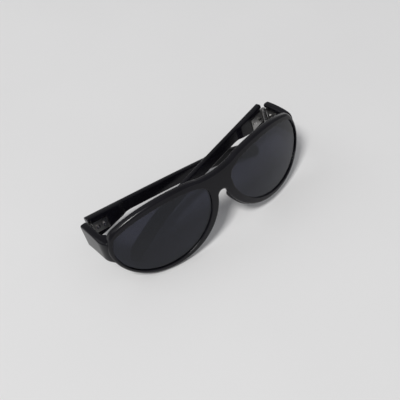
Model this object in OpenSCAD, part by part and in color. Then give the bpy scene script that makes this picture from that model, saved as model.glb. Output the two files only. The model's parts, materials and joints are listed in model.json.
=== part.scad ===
// Wrap sunglasses with folding temples, drawn folded and standing on one rim and both temple tips.
// Lengths are in millimetres and angles in degrees. +Z is up and the lenses face -Y.
// The pieces are built in the front's own frame: x to the wearer's left, y from the lenses back to
// the wearer, z up along the front, with zero at the top edge in the middle of the bridge.
// The last step leans the whole back until the low rim and the two temple tips touch the table.

/* [Front] */
// Radius of the ball that both lenses and both rims follow
base_r = 165; // [155:1:180]
// Thickness of the rims from front to back
rim_t = 4; // [3.8:0.1:4.4]
// Mean width of the rims seen from the front
rim_band = 3.6; // [3.4:0.05:3.8]
// Height of the bridge in the middle, from its top edge to the nose arch
bridge_h = 12.4; // [11.5:0.1:13]
// Half of the width over the two end pieces
end_x = 70.6; // [70.2:0.1:71.2]
// Thickness of the end pieces at the hinges
end_t = 4.2; // [4:0.1:4.6]
// Distance from the front of the bridge back to the hinge line
hinge_y = 37; // [36:0.5:38]

/* [Lenses] */
// Thickness of the lenses
lens_t = 2; // [1.8:0.1:2.2]
// Depth that the lens edge reaches into the groove of the rim
lens_grip = 0.8; // [0.6:0.05:0.9]

/* [Nose pads] */
// Thickness of a soft nose pad in its middle
pad_t = 1; // [0.8:0.1:1.2]
// Depth of a nose pad from front to back
pad_d = 3.8; // [3.6:0.1:4.2]

/* [Temples] */
// Length of a temple from the hinge pin to its end
arm_len = 122; // [118:1:124]
// Thickness of a temple behind its hinge block
arm_t = 3.2; // [3:0.1:3.3]
// Height of a temple behind its hinge block
arm_h = 8; // [7.4:0.2:8.4]
// Downward slope of a temple against the front
arm_droop = 8.5; // [8.3:0.1:8.8]
// Extra drop at the end of a temple
tip_drop = 6; // [5.4:0.2:6.6]
// Length of the soft sleeve on the end of a temple
tip_len = 38; // [34:1:40]

/* [Hinges] */
// Radius of the hinge barrels
barrel_r = 1.7; // [1.6:0.05:1.8]
// Radius of the hinge screw
pin_r = 0.7; // [0.6:0.05:0.8]
// Height of the three hinge barrels together
barrel_h = 8.2; // [7.8:0.1:8.6]
// Thickness of the hinge leaves
leaf_t = 1; // [0.9:0.05:1.1]

/* [Folded pose] */
// Turn of the wearer's left temple from open to folded, the inner one of the two
fold_left = 97; // [96.4:0.1:97.6]
// Turn of the wearer's right temple from open to folded, which lies over the left one
fold_right = 88.6; // [88:0.1:89]

/* [Hidden] */

// Named clearances
seat_gap = 0.05;      // lens in its groove, behind the lens and round its edge
pin_gap = 0.05;       // temple barrel on the hinge screw
barrel_gap = 0.2;     // between the ends of the barrels
butt_gap = 0.1;       // between end piece and temple when the temple is open, each side
relief_gap = 0.35;    // round the barrels in end piece and temple
leaf_gap = 0.1;       // round the edges of a hinge leaf in its pocket

// The rim seen from the front is one smooth closed line of arcs, left side of the wearer.
// Each arc turns from one direction of its outward normal to the next.
rim_turn = [-15, 30, 66, 82, 98, 120, 175, 205, 238, 278, 315, 345];
rim_r = [18.96, 8.99, 62.81, 97.79, 30.44, 8.98, 24.48, 35.66, 37.86, 30.84, 27.12];
rim_start = [68.217, -20.178];
lens_shift = [1.7, -0.6];     // the rim is wide at the nose and narrow at the temple
lens_front = 0.9;             // the lens stands this far behind the front of the rim
ball_x = 5;                   // the balls stand this far to each side of the middle
ball_z = -18;                 // and this far below the top edge of the bridge

function dir(a) = [cos(a), sin(a)];
function arc_start(i) = i == 0 ? rim_start : arc_start(i - 1)
    + rim_r[i - 1] * (dir(rim_turn[i]) - dir(rim_turn[i - 1]));
function rim_at(i, a, d) = arc_start(i) - rim_r[i] * dir(rim_turn[i]) + (rim_r[i] + d) * dir(a);
function rim_line(d) = [for (i = [0 : 10])
    let (turn = rim_turn[i + 1] - rim_turn[i], steps = ceil(turn / 4))
    for (k = [0 : steps - 1]) rim_at(i, rim_turn[i] + turn * k / steps, d)];
// Point of the rim whose outward normal has the direction a
function arc_of(a) = max([for (i = [0 : 10]) rim_turn[i] <= a ? i : 0]);
function rim_point(a, d) = rim_at(arc_of(a), a, d);

// Distance from the front of the bridge back to the ball of radius r
function ball_y(x, z, r) = base_r
    - sqrt(r * r - pow(max(abs(x) - ball_x, 0), 2) - pow(z - ball_z, 2));

// End piece and hinge
end_top = -4.3;
end_low = -19;
hinge_z = (end_top + end_low) / 2;
inner_x = end_x - end_t;
pin_in = 1;
pin_x = inner_x - pin_in;
barrel_1 = barrel_h / 2 - barrel_gap - barrel_h / 6;
relief_r = barrel_r + relief_gap;
relief_h = barrel_h + 2;
corner_r = 9;
corner_x = end_x - corner_r;
corner_y = ball_y(corner_x, ball_z, base_r) + 10;
end_run = hinge_y - corner_y + 8;
sheet_back = corner_y + 4;    // behind the whole bowed sheet
leaf_in = 0.8;
leaf_h = 7;
leaf_from = relief_r - 0.1;
leaf_to = leaf_from + 9;
screw_y = [leaf_from + 2.3, leaf_from + 6.7];
leaf_screw_r = 0.7;
leaf_screw_grip = 2;         // length of the leaf's screws in the plastic

// Temple
droop = tan(arm_droop);
block_len = 20;
block_t = end_x - inner_x;
out_dx = end_x - pin_x;
function smooth(t) = let (u = min(max(t, 0), 1)) u * u * (3 - 2 * u);
function sweep(s) = s > 35 ? pow(s - 35, 2) / 3000 : 0;
function drop(s) = s > 80 ? tip_drop * pow((s - 80) / 42, 2) : 0;
function arm_top(s) = (end_top - hinge_z) - drop(s) - droop * s;
function arm_height(s) = arm_h + (end_top - end_low - arm_h) * (1 - smooth(s / 28))
    + smooth((s - arm_len + tip_len) / 25);
function arm_low(s) = arm_top(s) - arm_height(s);
function arm_out(s) = out_dx - sweep(s);
function arm_in(s) = s <= block_len ? pin_in
    : arm_out(s) - arm_t - (block_t - arm_t) * (1 - smooth((s - block_len) / 4));
sleeve = 0.3;                 // the soft sleeve stands proud of the temple by this much
core_t = 1.4;
core_h = 4.8;
core_end = arm_len - 7;
tip_from = arm_len - tip_len;

// Round end of a temple, seen from the side
end_s = arm_len - 5;
end_slope = droop + 2 * tip_drop * (end_s - 80) / pow(42, 2);
end_mid = (arm_top(end_s) + arm_low(end_s)) / 2;
end_half = arm_height(end_s) / 2 + sleeve;
function tip_end(k) = [end_s + 5 * sin(15 * k), end_mid + end_half * cos(15 * k)
    - end_slope * 5 * sin(15 * k)];
function tip_s(k) = tip_from + (end_s - tip_from) * k / 9;

// Edge points that can touch the table, and the plane on which three of them stand.
// The rim on the wearer's right touches, and both temple tips.
function turned(p, a) = [p[0] * cos(a) - p[1] * sin(a), p[0] * sin(a) + p[1] * cos(a), p[2]];
function tip_edge(a, side) = [for (p = concat([for (k = [0 : 9]) [tip_s(k), arm_low(tip_s(k)) - sleeve]],
        [for (k = [6 : 11]) tip_end(k)]))
    let (q = turned([arm_out(p[0]) + sleeve, p[0], p[1]], a))
    [side * (pin_x + q[0]), hinge_y + q[1], hinge_z + q[2]]];
function rim_edge(side) = [for (p = rim_line(0)) if (p[1] < -25)
    [side * p[0], ball_y(p[0], p[1], base_r - rim_t), p[1]]];
function lowest(points, v) = let (h = [for (p = points) p * v], m = min(h))
    [for (k = [0 : len(h) - 1]) if (h[k] == m) points[k]][0];
function plane_up(v) = let (a = lowest(rim_edge(-1), v), b = lowest(tip_edge(fold_left, 1), v),
        c = lowest(tip_edge(fold_right, -1), v), n = cross(b - a, c - a))
    n / norm(n) * sign(n[2]);
up = plane_up(plane_up(plane_up([0.05, -0.35, 0.93])));
floor_z = lowest(rim_edge(-1), up) * up;
lean = atan2(-up[1], up[2]);
roll = asin(up[0]);

// Outermost points of the standing glasses, whose middle is put over the origin
function laid(p) = let (z = p[2] * cos(lean) - p[1] * sin(lean))
    [p[0] * cos(roll) - z * sin(roll), p[1] * cos(lean) + p[2] * sin(lean)];
function rim_front(side) = [for (p = rim_line(0)) [side * p[0], ball_y(p[0], p[1], base_r), p[1]]];
function end_rise(t) = 4.5 * t * t;
function end_fall(t) = 3 * t * t;
function end_edge(side) = [for (y = [corner_y, hinge_y - butt_gap]) let (t = (hinge_y - y) / end_run)
    for (z = [end_top - end_rise(t), end_low - end_fall(t)]) [side * end_x, y, z]];
function block_edge(a, side) = [for (z = [arm_top(butt_gap), arm_low(butt_gap)])
    let (q = turned([arm_out(butt_gap), butt_gap, z], a))
    [side * (pin_x + q[0]), hinge_y + q[1], hinge_z + q[2]]];
outer_points = [for (p = concat(rim_front(1), rim_front(-1), end_edge(1), end_edge(-1),
    block_edge(fold_left, 1), block_edge(fold_right, -1))) laid(p)];
function middle(k) = (max([for (p = outer_points) p[k]]) + min([for (p = outer_points) p[k]])) / 2;
middle_x = middle(0);
middle_y = middle(1);

// Puts the front's frame on the table
module standing() {
    translate([-middle_x, -middle_y, -floor_z])
        rotate([0, -roll, 0])
            rotate([-lean, 0, 0])
                children();
}

// Puts a piece of the wearer's left temple, drawn open round its pin, into its folded place
module folded_left() {
    standing()
        translate([pin_x, hinge_y, hinge_z])
            rotate([0, 0, fold_left])
                children();
}

// The same for the wearer's right temple, which is the mirror image
module folded_right() {
    standing()
        mirror([1, 0, 0])
            translate([pin_x, hinge_y, hinge_z])
                rotate([0, 0, fold_right])
                    children();
}

// Turns a flat shape seen from the front into a block that runs from y0 back to y1
module from_front(y0, y1) {
    translate([0, y1, 0]) rotate([90, 0, 0]) linear_extrude(height = y1 - y0) children();
}

// Turns a flat shape drawn with y and z into a block that runs from x0 to x1
module from_side(x0, x1) {
    translate([x0, 0, 0]) rotate([90, 0, 90]) linear_extrude(height = x1 - x0) children();
}

// Half of the bowed sheet between the balls of radius r1 and r0, wearer's left
module ball_sheet(r0, r1) {
    translate([0, base_r, ball_z]) rotate([-90, 0, -90]) rotate([0, 0, -12])
        rotate_extrude(angle = 24, $fn = 360)
            intersection() {
                difference() {
                    translate([0, ball_x]) circle(r = r1, $fn = 360);
                    translate([0, ball_x]) circle(r = r0, $fn = 360);
                }
                translate([100, ball_x]) square([90, 69 - ball_x]);
            }
}

// Straight middle of the sheet, behind the bridge
module bridge_sheet(r0, r1) {
    from_side(-ball_x, ball_x) intersection() {
        difference() {
            translate([base_r, ball_z]) circle(r = r1, $fn = 360);
            translate([base_r, ball_z]) circle(r = r0, $fn = 360);
        }
        translate([-1, -30]) square([20, 45]);
    }
}

module bridge_shape() {
    difference() {
        polygon(concat(
            [for (x = [-12 : 1 : 12]) [x, 1.2 * pow(x / 12, 2)]],
            [[6, -8], [4.2, -bridge_h - 3.3], [-4.2, -bridge_h - 3.3], [-6, -8]]));
        translate([0, -bridge_h - 3.3]) circle(r = 3.3, $fn = 64);
    }
}

// End piece seen from above, from inside the rim back to the hinge line
module end_plan() {
    polygon(concat(
        [[corner_x - 1.6, corner_y - 7]],
        [for (k = [0 : 9]) [corner_x, corner_y] + (corner_r - end_t) * dir(-90 + 10 * k)],
        [[inner_x, hinge_y - butt_gap], [end_x, hinge_y - butt_gap]],
        [for (k = [0 : 6]) [corner_x, corner_y] + corner_r * dir(-7.5 * k)],
        [[corner_x + 4, corner_y - 7.2]]));
}

// End piece seen from the side, deeper at the rim than at the hinge
module end_side() {
    polygon(concat(
        [for (k = [0 : 10]) let (t = 1 - k / 10) [hinge_y - end_run * t, end_top - end_rise(t)]],
        [for (k = [0 : 10]) let (t = k / 10) [hinge_y - end_run * t, end_low - end_fall(t)]]));
}

// Raised edge behind the rim at the nose, which carries the pad in a shallow seat
flange_from = 188;
flange_to = 234;
pad_from = 2.4;
pad_back = pad_from + pad_d;
flange_back = pad_back - 0.4;
seat_in = 0.2;
function flange_line(k0, k1, d) = [for (k = [0 : abs(k1 - k0)])
    rim_point(flange_from + (flange_to - flange_from) * (k1 > k0 ? k0 + k : k0 - k) / 24, d)];

module nose_flange() {
    from_front(1.5, flange_back)
        polygon(concat(flange_line(0, 24, -0.05), flange_line(24, 0, -2.6)));
}

module pad_seat() {
    from_front(pad_from, pad_back + pad_t)
        polygon(concat(flange_line(1, 23, -seat_in), flange_line(23, 1, 3)));
}

// Pegs of the nose pad, or their holes in the raised edge
peg_r = 0.9;
peg_len = 1.6;
peg_turns = [200, 222];
module pad_pegs() {
    for (a = peg_turns) {
        p = rim_point(a, 0);
        translate([p[0], pad_from + pad_d / 2, p[1]])
            rotate([0, 90 - a, 0])
                translate([0, 0, -peg_len]) cylinder(r = peg_r, h = peg_len + 0.1, $fn = 32);
    }
}

// Rim of one side seen from the front, filled, with its share of the bridge
module rim_shape() {
    polygon(rim_line(0));
    bridge_shape();
}

// The sheet of one side cut to the rim
module rim_block() {
    intersection() {
        ball_sheet(base_r - rim_t, base_r);
        from_front(-1, sheet_back) rim_shape();
    }
}

// The straight middle of the sheet cut to the bridge and the two nose sides of the rims
module bridge_block() {
    intersection() {
        bridge_sheet(base_r - rim_t, base_r);
        from_front(-1, sheet_back) union() {
            polygon(rim_line(0));
            mirror([1, 0]) polygon(rim_line(0));
            bridge_shape();
        }
    }
}

// End piece and raised nose edge of one side
module side_pieces() {
    intersection() {
        translate([0, 0, 2 * end_low]) linear_extrude(height = -2 * end_low) end_plan();
        from_side(50, 80) end_side();
    }
    nose_flange();
}

// Everything that is cut from one side of the front
module side_cuts() {
    // opening for the lens, through the rim and the root of the end piece
    from_front(-1, corner_y) translate(lens_shift) polygon(rim_line(-rim_band));
    // groove for the edge of the lens
    intersection() {
        ball_sheet(base_r - lens_front - lens_t - seat_gap, base_r - lens_front);
        from_front(-1, sheet_back) translate(lens_shift)
            polygon(rim_line(lens_grip - rim_band + seat_gap));
    }
    // relief for the hinge barrels, pocket for the leaf and holes for its screws
    translate([pin_x, hinge_y, hinge_z - relief_h / 2])
        cylinder(r = relief_r, h = relief_h, $fn = 48);
    translate([inner_x - 1, hinge_y - leaf_to - leaf_gap, hinge_z - leaf_h / 2 - leaf_gap])
        cube([leaf_in + 1, leaf_to + leaf_gap + 1, leaf_h + 2 * leaf_gap]);
    for (s = screw_y)
        translate([inner_x, hinge_y - s, hinge_z]) rotate([0, 90, 0])
            cylinder(r = leaf_screw_r, h = leaf_in + leaf_screw_grip, $fn = 32);
    pad_seat();
    pad_pegs();
}

module front_frame() {
    color([0.07, 0.07, 0.08]) standing() difference() {
        union() {
            bridge_block();
            rim_block();
            mirror([1, 0, 0]) rim_block();
            side_pieces();
            mirror([1, 0, 0]) side_pieces();
        }
        side_cuts();
        mirror([1, 0, 0]) side_cuts();
    }
}

module lens_shape() {
    intersection() {
        ball_sheet(base_r - lens_front - lens_t, base_r - lens_front);
        from_front(-1, sheet_back) translate(lens_shift) polygon(rim_line(lens_grip - rim_band));
    }
}

module lens_left() {
    color([0.2, 0.21, 0.25]) standing() lens_shape();
}

module lens_right() {
    color([0.2, 0.21, 0.25]) standing() mirror([1, 0, 0]) lens_shape();
}

// Soft pad on the raised edge, thicker in the middle, with two pegs
module pad_shape() {
    union() {
        from_front(pad_from, pad_back)
            polygon(concat(
                flange_line(1, 23, -seat_in),
                [for (k = [23 : -1 : 1]) let (t = (k - 1) / 22)
                    flange_line(k, k, 0.2 + (pad_t - 0.4) * sqrt(max(sin(180 * t), 0)))[0]]));
        pad_pegs();
    }
}

module nose_pad_left() {
    color([0.12, 0.12, 0.13]) standing() pad_shape();
}

module nose_pad_right() {
    color([0.12, 0.12, 0.13]) standing() mirror([1, 0, 0]) pad_shape();
}

// Flat part of a leaf seen from the side, sloped for the temple, with y from the pin outwards
module leaf_side(slope) {
    polygon([[leaf_from, leaf_h / 2 - slope * leaf_from], [leaf_to, leaf_h / 2 - slope * leaf_to],
        [leaf_to, -leaf_h / 2 - slope * leaf_to], [leaf_from, -leaf_h / 2 - slope * leaf_from]]);
}

// Leaf of the front: plate, two barrels and their tongues, round the pin
module front_leaf() {
    mirror([0, 1, 0]) difference() {
        union() {
            from_side(pin_in + leaf_in - leaf_t, pin_in + leaf_in) leaf_side(0);
            for (z = [barrel_1, -barrel_h / 2]) {
                translate([0, 0, z]) cylinder(r = barrel_r, h = barrel_h / 2 - barrel_1, $fn = 48);
                translate([pin_in + leaf_in - leaf_t, 0, max(z, -leaf_h / 2)])
                    cube([leaf_t, leaf_from + 0.5, leaf_h / 2 - barrel_1]);
            }
        }
        translate([0, 0, -barrel_h]) cylinder(r = pin_r, h = 2 * barrel_h, $fn = 48);
        for (s = screw_y)
            translate([0, s, 0]) rotate([0, 90, 0]) cylinder(r = leaf_screw_r, h = 4, $fn = 32);
    }
}

// Leaf of the temple: sloped plate, one barrel and its tongue
module temple_leaf() {
    half = barrel_1 - barrel_gap;
    difference() {
        union() {
            from_side(pin_in + leaf_in - leaf_t, pin_in + leaf_in) leaf_side(droop);
            translate([0, 0, -half]) cylinder(r = barrel_r, h = 2 * half, $fn = 48);
            translate([pin_in + leaf_in - leaf_t, 0, -half]) cube([leaf_t, leaf_from + 0.5, 2 * half]);
        }
        translate([0, 0, -barrel_h]) cylinder(r = pin_r + pin_gap, h = 2 * barrel_h, $fn = 48);
        for (s = screw_y)
            translate([0, s, -droop * s]) rotate([0, 90, 0])
                cylinder(r = leaf_screw_r, h = 4, $fn = 32);
    }
}

// Two small screws that hold a leaf, heads towards the wearer
module leaf_screws(slope) {
    for (s = screw_y)
        translate([pin_in + leaf_in - leaf_t, s, -slope * s]) rotate([0, 90, 0])
            difference() {
                union() {
                    cylinder(r = leaf_screw_r, h = leaf_t + leaf_screw_grip, $fn = 32);
                    translate([0, 0, -0.6]) cylinder(r = 1.15, h = 0.6, $fn = 32);
                }
                translate([-2, -0.15, -1]) cube([4, 0.3, 0.7]);
            }
}

// Screw that is the hinge pin, head up
module hinge_screw() {
    difference() {
        union() {
            translate([0, 0, -barrel_h / 2]) cylinder(r = pin_r, h = barrel_h, $fn = 48);
            translate([0, 0, barrel_h / 2]) cylinder(r = 1.35, h = 0.6, $fn = 48);
        }
        translate([-2, -0.2, barrel_h / 2 + 0.3]) cube([4, 0.4, 1]);
    }
}

module at_left_hinge() {
    standing() translate([pin_x, hinge_y, hinge_z]) children();
}

module at_right_hinge() {
    standing() mirror([1, 0, 0]) translate([pin_x, hinge_y, hinge_z]) children();
}

module front_hinge_leaf_left() {
    color([0.6, 0.6, 0.62]) at_left_hinge() front_leaf();
}

module front_hinge_leaf_right() {
    color([0.6, 0.6, 0.62]) at_right_hinge() front_leaf();
}

module front_leaf_screws_left() {
    color([0.7, 0.7, 0.72]) at_left_hinge() mirror([0, 1, 0]) leaf_screws(0);
}

module front_leaf_screws_right() {
    color([0.7, 0.7, 0.72]) at_right_hinge() mirror([0, 1, 0]) leaf_screws(0);
}

module hinge_screw_left() {
    color([0.7, 0.7, 0.72]) at_left_hinge() hinge_screw();
}

module hinge_screw_right() {
    color([0.7, 0.7, 0.72]) at_right_hinge() hinge_screw();
}

module temple_hinge_leaf_left() {
    color([0.6, 0.6, 0.62]) folded_left() temple_leaf();
}

module temple_hinge_leaf_right() {
    color([0.6, 0.6, 0.62]) folded_right() temple_leaf();
}

module temple_leaf_screws_left() {
    color([0.7, 0.7, 0.72]) folded_left() leaf_screws(droop);
}

module temple_leaf_screws_right() {
    color([0.7, 0.7, 0.72]) folded_right() leaf_screws(droop);
}

// Turns a temple's flat shape seen from above into a block that is higher and deeper than the temple
module over_temple() {
    translate([0, 0, -arm_len / 2]) linear_extrude(height = arm_len * 2 / 3) children();
}

// Temple between s0 and s1 seen from above and from the side, both grown by g
module arm_plan(s0, s1, g) {
    n = ceil((s1 - s0) / 4);
    polygon(concat(
        [for (k = [0 : n]) let (s = s0 + (s1 - s0) * k / n) [arm_out(s) + g, s]],
        [for (k = [0 : n]) let (s = s1 - (s1 - s0) * k / n) [arm_in(s) - g, s]]));
}

module arm_side(s0, s1, g) {
    n = ceil((s1 - s0) / 4);
    polygon(concat(
        [for (k = [0 : n]) let (s = s0 + (s1 - s0) * k / n) [s, arm_top(s) + g]],
        [for (k = [0 : n]) let (s = s1 - (s1 - s0) * k / n) [s, arm_low(s) - g]]));
}

// Outline of the sleeve from the side, with a round end
module tip_side() {
    polygon(concat(
        [for (k = [0 : 9]) [tip_s(k), arm_top(tip_s(k)) + sleeve]],
        [for (k = [1 : 11]) tip_end(k)],
        [for (k = [9 : -1 : 0]) [tip_s(k), arm_low(tip_s(k)) - sleeve]]));
}

// Tongue of the temple inside the sleeve
module core_plan() {
    s0 = tip_from - 1;
    n = 8;
    polygon(concat(
        [for (k = [0 : n]) let (s = s0 + (core_end - s0) * k / n)
            [(arm_out(s) + arm_in(s) + core_t) / 2, s]],
        [for (k = [0 : n]) let (s = core_end - (core_end - s0) * k / n)
            [(arm_out(s) + arm_in(s) - core_t) / 2, s]]));
}

module core_side() {
    s0 = tip_from - 1;
    n = 8;
    polygon(concat(
        [for (k = [0 : n]) let (s = s0 + (core_end - s0) * k / n)
            [s, (arm_top(s) + arm_low(s) + core_h) / 2]],
        [for (k = [0 : n]) let (s = core_end - (core_end - s0) * k / n)
            [s, (arm_top(s) + arm_low(s) - core_h) / 2]]));
}

module core() {
    intersection() {
        over_temple() core_plan();
        from_side(-10, 10) core_side();
    }
}

module arm_shape() {
    difference() {
        union() {
            intersection() {
                over_temple() union() {
                    arm_plan(butt_gap, block_len, 0);
                    arm_plan(block_len, block_len + 4, 0);
                    arm_plan(block_len + 4, tip_from, 0);
                }
                from_side(-10, 10) arm_side(butt_gap, tip_from, 0);
            }
            core();
        }
        translate([0, 0, -relief_h / 2]) cylinder(r = relief_r, h = relief_h, $fn = 48);
        from_side(0, pin_in + leaf_in)
            polygon([[-1, leaf_h / 2 + leaf_gap + droop],
                [leaf_to + leaf_gap, leaf_h / 2 + leaf_gap - droop * (leaf_to + leaf_gap)],
                [leaf_to + leaf_gap, -leaf_h / 2 - leaf_gap - droop * (leaf_to + leaf_gap)],
                [-1, -leaf_h / 2 - leaf_gap + droop]]);
        for (s = screw_y)
            translate([pin_in, s, -droop * s]) rotate([0, 90, 0])
                cylinder(r = leaf_screw_r, h = leaf_in + leaf_screw_grip, $fn = 32);
    }
}

module temple_arm_left() {
    color([0.07, 0.07, 0.08]) folded_left() arm_shape();
}

module temple_arm_right() {
    color([0.07, 0.07, 0.08]) folded_right() arm_shape();
}

module tip_shape() {
    difference() {
        intersection() {
            over_temple() arm_plan(tip_from, arm_len + 1, sleeve);
            from_side(-10, 10) tip_side();
        }
        core();
    }
}

module temple_tip_left() {
    color([0.12, 0.12, 0.13]) folded_left() tip_shape();
}

module temple_tip_right() {
    color([0.12, 0.12, 0.13]) folded_right() tip_shape();
}

front_frame();
lens_left();
lens_right();
nose_pad_left();
nose_pad_right();
front_hinge_leaf_left();
front_hinge_leaf_right();
front_leaf_screws_left();
front_leaf_screws_right();
hinge_screw_left();
hinge_screw_right();
temple_hinge_leaf_left();
temple_hinge_leaf_right();
temple_leaf_screws_left();
temple_leaf_screws_right();
temple_arm_left();
temple_arm_right();
temple_tip_left();
temple_tip_right();
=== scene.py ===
"""Finished surfaces for a pair of folding wrap sunglasses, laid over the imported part.

The front, lenses, nose pads and temples are worked out in the front's own frame, in millimetres:
x to the wearer's left, y from the lenses back to the wearer, z up along the front, with zero at the
top edge in the middle of the bridge. One matrix then carries them into the frame of the part.
"""

import json
import math

import bmesh
import bpy
import numpy as np
from bpy.props import FloatProperty, FloatVectorProperty, PointerProperty
from mathutils import Matrix, Vector


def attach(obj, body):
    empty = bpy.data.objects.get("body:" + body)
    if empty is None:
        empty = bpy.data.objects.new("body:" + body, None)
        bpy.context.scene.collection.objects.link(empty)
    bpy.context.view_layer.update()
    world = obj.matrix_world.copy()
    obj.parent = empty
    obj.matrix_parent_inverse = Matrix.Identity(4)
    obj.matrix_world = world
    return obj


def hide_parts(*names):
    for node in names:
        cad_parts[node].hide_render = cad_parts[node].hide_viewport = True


bl_info = {
    "name": "Wrap sunglasses",
    "version": (1, 0, 0),
    "blender": (4, 5, 0),
    "location": "3D View > Sidebar > Sunglasses",
    "description": "Builds the finished surfaces of a pair of folding wrap sunglasses",
    "category": "Add Mesh",
}

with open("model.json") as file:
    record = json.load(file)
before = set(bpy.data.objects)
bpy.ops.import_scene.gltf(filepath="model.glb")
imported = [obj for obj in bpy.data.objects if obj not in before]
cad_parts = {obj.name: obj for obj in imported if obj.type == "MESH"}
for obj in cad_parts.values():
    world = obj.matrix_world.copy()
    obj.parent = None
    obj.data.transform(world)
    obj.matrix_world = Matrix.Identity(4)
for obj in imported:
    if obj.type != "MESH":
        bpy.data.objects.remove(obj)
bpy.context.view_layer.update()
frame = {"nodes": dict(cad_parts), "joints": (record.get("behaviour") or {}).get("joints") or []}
JOINTS = {joint["name"]: joint for joint in frame["joints"]}
SIDES = {"left": 1, "right": -1}

# Millimetres in a metre
MM = 1000.0

# Sizes of the front in millimetres, the same as in the part's source
BASE_R = 165.0
RIM_T = 4.0
RIM_BAND = 3.6
BRIDGE_H = 12.4
END_X = 70.6
END_T = 4.2
HINGE_Y = 37.0
END_TOP = -4.3
END_LOW = -19.0
CORNER_R = 9.0
BALL_X = 5.0
BALL_Z = -18.0

# End pieces and hinges: the corner's depth behind the lenses, the fall of both edges towards the rim, the
# hollows round the pin and behind the leaf, and the edges of the butt faces
CORNER_BACK = 10.0
END_REACH = 8.0
TOP_FALL = 4.5
LOW_FALL = 3.0
ROOT_Y = 14.0
ROOT_BEHIND = 2.0
ROOT_BLEND = 3.0
END_EDGE = 1.2
PIN_IN = 1.0
HINGE_Z = (END_TOP + END_LOW) / 2
INNER_X = END_X - END_T
PIN_X = INNER_X - PIN_IN
RELIEF_R = 2.05
RELIEF_HALF = 5.1
LEAF_IN = 0.8
LEAF_LEN = 9.0
LEAF_END = RELIEF_R + LEAF_LEN
LEAF_HALF = 3.6
BUTT_GAP = 0.1
BUTT_BEVEL = 0.4

# Rows of the end pieces and temples behind the pocket, and the heights over the hinge's middle at which the
# columns of their inner faces stand, doubled at every step
ROW_STEP = 0.6
STEP_W = 0.04
STEP_Z = [side * (edge + step) for side in (-1, 1) for edge in (LEAF_HALF, RELIEF_HALF)
          for step in (-STEP_W, STEP_W)]
LINE_Z = np.sort(np.concatenate([STEP_Z, np.linspace(-3, 3, 5), [-4.4, 4.4]]))

# The rim seen from the front: arcs between these directions of the outward normal, the shift of the lens
# opening, and the back edge's share of the front edge's roundness
RIM_TURN = np.array([-15, 30, 66, 82, 98, 120, 175, 205, 238, 278, 315, 345], float)
RIM_R = np.array([18.96, 8.99, 62.81, 97.79, 30.44, 8.98, 24.48, 35.66, 37.86, 30.84, 27.12])
RIM_START = np.array([68.217, -20.178])
LENS_SHIFT = np.array([1.7, -0.6])
BACK_EDGE = 0.8

# The bridge, and the directions between which its top edge and the nose arch meet the rim's outline
ARCH_R = 3.3
BRIDGE_HALF = 12.0
BRIDGE_RISE = 1.2
TOP_MEETS = (98, 120)
ARCH_MEETS = (180, 191)

# Lenses
LENS_T = 2.0
LENS_GRIP = 0.8
LENS_FRONT = 0.9

# Nose edges and pads: an edge rises, falls and sinks into the rim over shares of its length, and a pad lies
# over a share of it, fuller at its lower end
FLANGE_FROM = 188.0
FLANGE_TO = 234.0
FLANGE_FRONT = 1.5
PAD_FROM = 2.4
PAD_D = 3.8
PAD_T = 1.0
PAD_OVER = 0.4
PAD_SLIM = 0.3
PAD_SEAT = 0.2
PAD_SHARE = (0.14, 0.96)
PAD_LEAN = 1.5
PAD_LEAST = 0.08
PAD_ROUND = 0.9
FLANGE_BACK = PAD_FROM + PAD_D - PAD_OVER
FLANGE_T = 2.55
FLANGE_LEAST = 0.2
FLANGE_EDGE = 0.8
FLANGE_IN = 0.05
RISE_SHARE = 0.42
FALL_SHARE = 0.25
SINK_SHARE = 0.15
SINK_IN = 0.9
SINK_BACK = 0.6

# How bluntly the ends of pads and sleeves close: the power of their shrinking width
END_CLOSE = 0.6

# Rounder back edge beside the nose: its extra radius, where it reaches and over what length it fades
NOSE_ROUND = 1.2
NOSE_HALF = 9.0
NOSE_TOP = -6.0
NOSE_LOW = -30.0
NOSE_FADE = 4.0

# Temples
ARM_LEN = 122.0
ARM_T = 3.2
ARM_H = 8.0
DROOP = math.tan(math.radians(8.5))
SWEEP_FROM = 35.0
SWEEP_FLAT = 3000.0
DROP_FROM = 80.0
DROP_RUN = ARM_LEN - DROP_FROM
TIP_DROP = 6.0
TIP_LEN = 38.0
TIP_FROM = ARM_LEN - TIP_LEN
TIP_WIDER = 1.0
TIP_RUN = 25.0
BLOCK_LEN = 20.0
BLOCK_STEP = 4.0
SLIM_RUN = 28.0

# Soft sleeves: thickness, rolled lip, round end, the roundness of their edges against the temple's, and the
# heights of the columns of their faces
SLEEVE = 0.3
SLEEVE_LIP = 0.5
SLEEVE_END = 5.0
END_S = ARM_LEN - SLEEVE_END
SLEEVE_EDGE = 1.3
SLEEVE_Z = np.linspace(-2.2, 2.2, 5)

# How finely the surfaces are divided: columns round a shape, rings along it and steps round a corner
RIM_COLUMNS = 190
BRIDGE_COLUMNS = 84
FRONT_RINGS = 30
LENS_COLUMNS = 180
LENS_RINGS = 44
EDGE_RINGS = 40
PAD_RINGS = 48
CORNER_STEPS = 7
RING_STEPS = 8
BUTT_STEPS = 5

# Camera that took the photograph, in the front's own frame
CAMERA_AIM = np.array([0.0, 15.0, -22.0])
CAMERA_AWAY = 385.83
CAMERA_TURN = -27.957
CAMERA_RISE = 34.532
CAMERA_ROLL = -18.499
PIXELS_PER_MM = 1.749
IMAGE_WIDTH = 400.0
AXIS_PIXEL = (211.0, 195.0)
SENSOR_WIDTH = 36.0

# Lights, each with its place in metres, width, power in watts and colour, and the room's even light
CEILING = ((-2.28, -1.02, 3.84), 1.0, 143.0, (1.0, 0.995, 0.98))
WINDOW = ((-1.8, 1.6, 2.2), 2.0, 12.0, (0.97, 0.98, 1.0))
ROOM_COLOUR = (0.97, 0.975, 1.0, 1)
ROOM_STRENGTH = 0.30


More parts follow.
